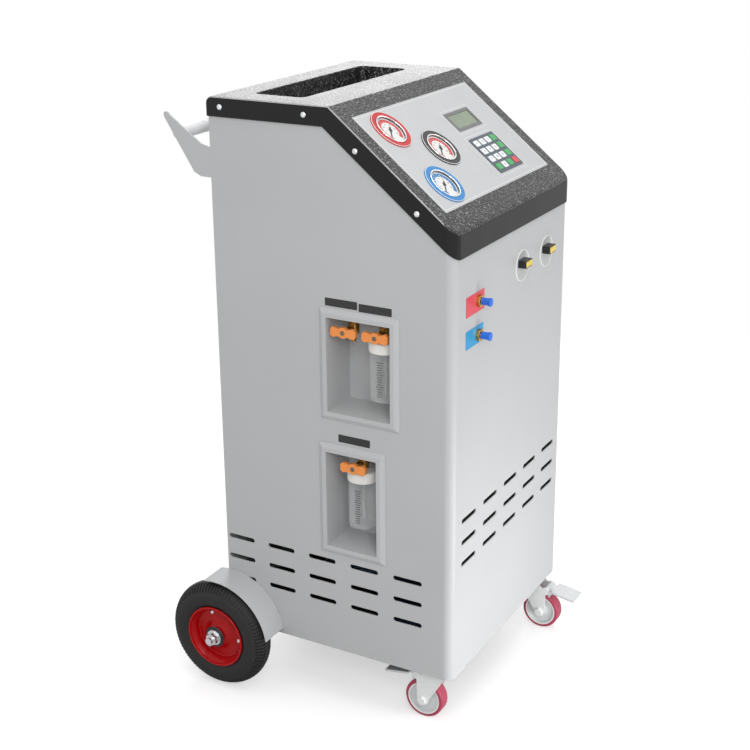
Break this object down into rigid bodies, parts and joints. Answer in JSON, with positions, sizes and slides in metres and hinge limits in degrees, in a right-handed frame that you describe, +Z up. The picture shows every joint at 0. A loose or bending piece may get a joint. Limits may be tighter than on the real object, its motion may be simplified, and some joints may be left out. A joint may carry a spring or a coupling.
{
  "type": "refrigerant recovery machine",
  "caption": "Wheeled grey cabinet with a black sloped control hood, pressure gauges, keypad, recessed oil bottle bays, service ports, push handle, red-rimmed wheels and braked casters.",
  "frame": {"origin": "centre of the bounding box on the floor the wheels stand on", "axes": "+Z up, -Y out of the front with the service ports, -X out of the side with the oil bays"},
  "size_m": [0.6536, 0.632, 1.112],
  "materials": {
    "cabinet_paint": "light grey powder coat",
    "hood_plastic": "black moulded plastic with a hair-cell grain",
    "fascia_film": "silver-grey overlay",
    "zinc_steel": "bright zinc plate",
    "valve_brass": "bright brass",
    "lid_plastic": "white moulded plastic",
    "bottle_clear": "clear plastic",
    "knob_orange": "orange moulded plastic",
    "cap_blue": "blue soft plastic",
    "black_plastic": "black moulded plastic",
    "button_yellow": "yellow moulded plastic",
    "gauge_red": "red enamel",
    "gauge_black": "black enamel",
    "gauge_blue": "blue enamel",
    "gauge_chrome": "polished",
    "dial_white": "white printed dial",
    "lens_clear": "clear",
    "needle_black": "black",
    "display_dark": "dark display window",
    "keypad_film": "dark membrane with raised pads",
    "chassis_steel": "dark grey paint",
    "tank_paint": "blue-grey paint",
    "compressor_black": "black paint",
    "pump_blue": "blue paint",
    "coil_aluminium": "bare fins",
    "board_green": "green board",
    "rim_red": "red gloss paint",
    "tyre_rubber": "black ribbed rubber",
    "core_grey": "grey moulded plastic",
    "tread_pink": "pink-red soft tread",
    "rocker_red": "red moulded plastic"
  },
  "bodies": {
    "machine": {"chassis_base": "chassis_steel", "cabinet_shell": "cabinet_paint", "rear_panel": "cabinet_paint", "top_hood": "hood_plastic", "control_fascia": "fascia_film", "casing_screws": "zinc_steel", "bay_liners": "cabinet_paint", "push_handle": "cabinet_paint", "mudguards": "cabinet_paint", "rear_axle": "zinc_steel", "axle_nuts": "zinc_steel", "caster_plates": "zinc_steel", "oil_valves": "valve_brass", "bottle_lids": "lid_plastic", "port_fittings": "valve_brass", "button_housings": "black_plastic", "high_gauge": "gauge_red", "mid_gauge": "gauge_black", "low_gauge": "gauge_blue", "gauge_bezels": "gauge_chrome", "gauge_dials": "dial_white", "gauge_lenses": "lens_clear", "display_module": "display_dark", "keypad": "keypad_film", "power_inlet": "black_plastic", "refrigerant_tank": "tank_paint", "weigh_platform": "coil_aluminium", "compressor": "compressor_black", "vacuum_pump": "pump_blue", "condenser": "coil_aluminium", "fan_motor": "black_plastic", "filter_drier": "tank_paint", "valve_manifold": "coil_aluminium", "control_board": "board_green"},
    "left_wheel": {"left_rim": "rim_red", "left_tyre": "tyre_rubber"},
    "right_wheel": {"right_rim": "rim_red", "right_tyre": "tyre_rubber"},
    "left_caster": {"left_caster_fork": "zinc_steel"},
    "right_caster": {"right_caster_fork": "zinc_steel"},
    "left_caster_wheel": {"left_caster_core": "core_grey", "left_caster_tread": "tread_pink"},
    "right_caster_wheel": {"right_caster_core": "core_grey", "right_caster_tread": "tread_pink"},
    "left_brake": {"left_caster_brake": "zinc_steel"},
    "right_brake": {"right_caster_brake": "zinc_steel"},
    "refill_knob_body": {"refill_knob": "knob_orange"},
    "new_oil_knob_body": {"new_oil_knob": "knob_orange"},
    "waste_oil_knob_body": {"waste_oil_knob": "knob_orange"},
    "new_oil_bottle_body": {"new_oil_bottle": "bottle_clear"},
    "waste_oil_bottle_body": {"waste_oil_bottle": "bottle_clear"},
    "high_needle_body": {"high_needle": "needle_black"},
    "mid_needle_body": {"mid_needle": "needle_black"},
    "low_needle_body": {"low_needle": "needle_black"},
    "high_cap_body": {"high_port_cap": "cap_blue"},
    "low_cap_body": {"low_port_cap": "cap_blue"},
    "left_button_body": {"left_button": "button_yellow"},
    "right_button_body": {"right_button": "button_yellow"},
    "fan_body": {"condenser_fan": "black_plastic"},
    "rocker_body": {"power_rocker": "rocker_red"}
  },
  "joints": [
    {"name": "left_wheel_spin", "type": "hinge", "parent": "machine", "child": "left_wheel", "pos_m": [-0.281, 0.212, 0.104], "axis": [1, 0, 0], "continuous": true},
    {"name": "left_caster_swivel", "type": "hinge", "parent": "machine", "child": "left_caster", "pos_m": [-0.197, -0.211, 0.1], "axis": [0, 0, 1], "continuous": true},
    {"name": "left_caster_spin", "type": "hinge", "parent": "left_caster", "child": "left_caster_wheel", "pos_m": [-0.197, -0.18, 0.0375], "axis": [1, 0, 0], "continuous": true},
    {"name": "left_brake_press", "type": "hinge", "parent": "left_caster", "child": "left_brake", "pos_m": [-0.197, -0.168, 0.0857], "axis": [-1, 0, 0], "range_deg": [0, 12]},
    {"name": "right_wheel_spin", "type": "hinge", "parent": "machine", "child": "right_wheel", "pos_m": [0.281, 0.212, 0.104], "axis": [1, 0, 0], "continuous": true},
    {"name": "right_caster_swivel", "type": "hinge", "parent": "machine", "child": "right_caster", "pos_m": [0.197, -0.211, 0.1], "axis": [0, 0, 1], "continuous": true},
    {"name": "right_caster_spin", "type": "hinge", "parent": "right_caster", "child": "right_caster_wheel", "pos_m": [0.197, -0.242, 0.0375], "axis": [1, 0, 0], "continuous": true},
    {"name": "right_brake_press", "type": "hinge", "parent": "right_caster", "child": "right_brake", "pos_m": [0.197, -0.254, 0.0857], "axis": [1, 0, 0], "range_deg": [0, 12]},
    {"name": "refill_knob_turn", "type": "hinge", "parent": "machine", "child": "refill_knob_body", "pos_m": [-0.2, -0.038, 0.726], "axis": [-1, 0, 0], "range_deg": [0, 90]},
    {"name": "new_oil_knob_turn", "type": "hinge", "parent": "machine", "child": "new_oil_knob_body", "pos_m": [-0.2, -0.1, 0.726], "axis": [-1, 0, 0], "range_deg": [0, 90]},
    {"name": "waste_oil_knob_turn", "type": "hinge", "parent": "machine", "child": "waste_oil_knob_body", "pos_m": [-0.2, -0.054, 0.477], "axis": [-1, 0, 0], "range_deg": [0, 90]},
    {"name": "new_oil_bottle_turn", "type": "hinge", "parent": "machine", "child": "new_oil_bottle_body", "pos_m": [-0.2, -0.1, 0.694], "axis": [0, 0, -1], "range_deg": [0, 540]},
    {"name": "waste_oil_bottle_turn", "type": "hinge", "parent": "machine", "child": "waste_oil_bottle_body", "pos_m": [-0.2, -0.054, 0.445], "axis": [0, 0, -1], "range_deg": [0, 540]},
    {"name": "high_needle_turn", "type": "hinge", "parent": "machine", "child": "high_needle_body", "pos_m": [-0.143, -0.08139, 1.06228], "axis": [0, 0.6293, -0.7771], "range_deg": [0, 270], "stiffness_Nm_per_rad": 0.001},
    {"name": "mid_needle_turn", "type": "hinge", "parent": "machine", "child": "mid_needle_body", "pos_m": [-0.057, -0.13191, 1.02138], "axis": [0, 0.6293, -0.7771], "range_deg": [0, 270], "stiffness_Nm_per_rad": 0.001},
    {"name": "low_needle_turn", "type": "hinge", "parent": "machine", "child": "low_needle_body", "pos_m": [-0.143, -0.18242, 0.98047], "axis": [0, 0.6293, -0.7771], "range_deg": [0, 270], "stiffness_Nm_per_rad": 0.001},
    {"name": "high_cap_pull", "type": "slide", "parent": "machine", "child": "high_cap_body", "axis": [0, -1, 0], "range_m": [0, 0.025]},
    {"name": "low_cap_pull", "type": "slide", "parent": "machine", "child": "low_cap_body", "axis": [0, -1, 0], "range_m": [0, 0.025]},
    {"name": "left_button_press", "type": "slide", "parent": "machine", "child": "left_button_body", "axis": [0, 1, 0], "range_m": [0, 0.003], "stiffness_N_per_m": 800},
    {"name": "right_button_press", "type": "slide", "parent": "machine", "child": "right_button_body", "axis": [0, 1, 0], "range_m": [0, 0.003], "stiffness_N_per_m": 800},
    {"name": "fan_spin", "type": "hinge", "parent": "machine", "child": "fan_body", "pos_m": [0, 0.192, 0.69], "axis": [0, 1, 0], "continuous": true},
    {"name": "rocker_tilt", "type": "hinge", "parent": "machine", "child": "rocker_body", "pos_m": [0.15, 0.219, 0.215], "axis": [1, 0, 0], "range_deg": [0, 20]}
  ]
}
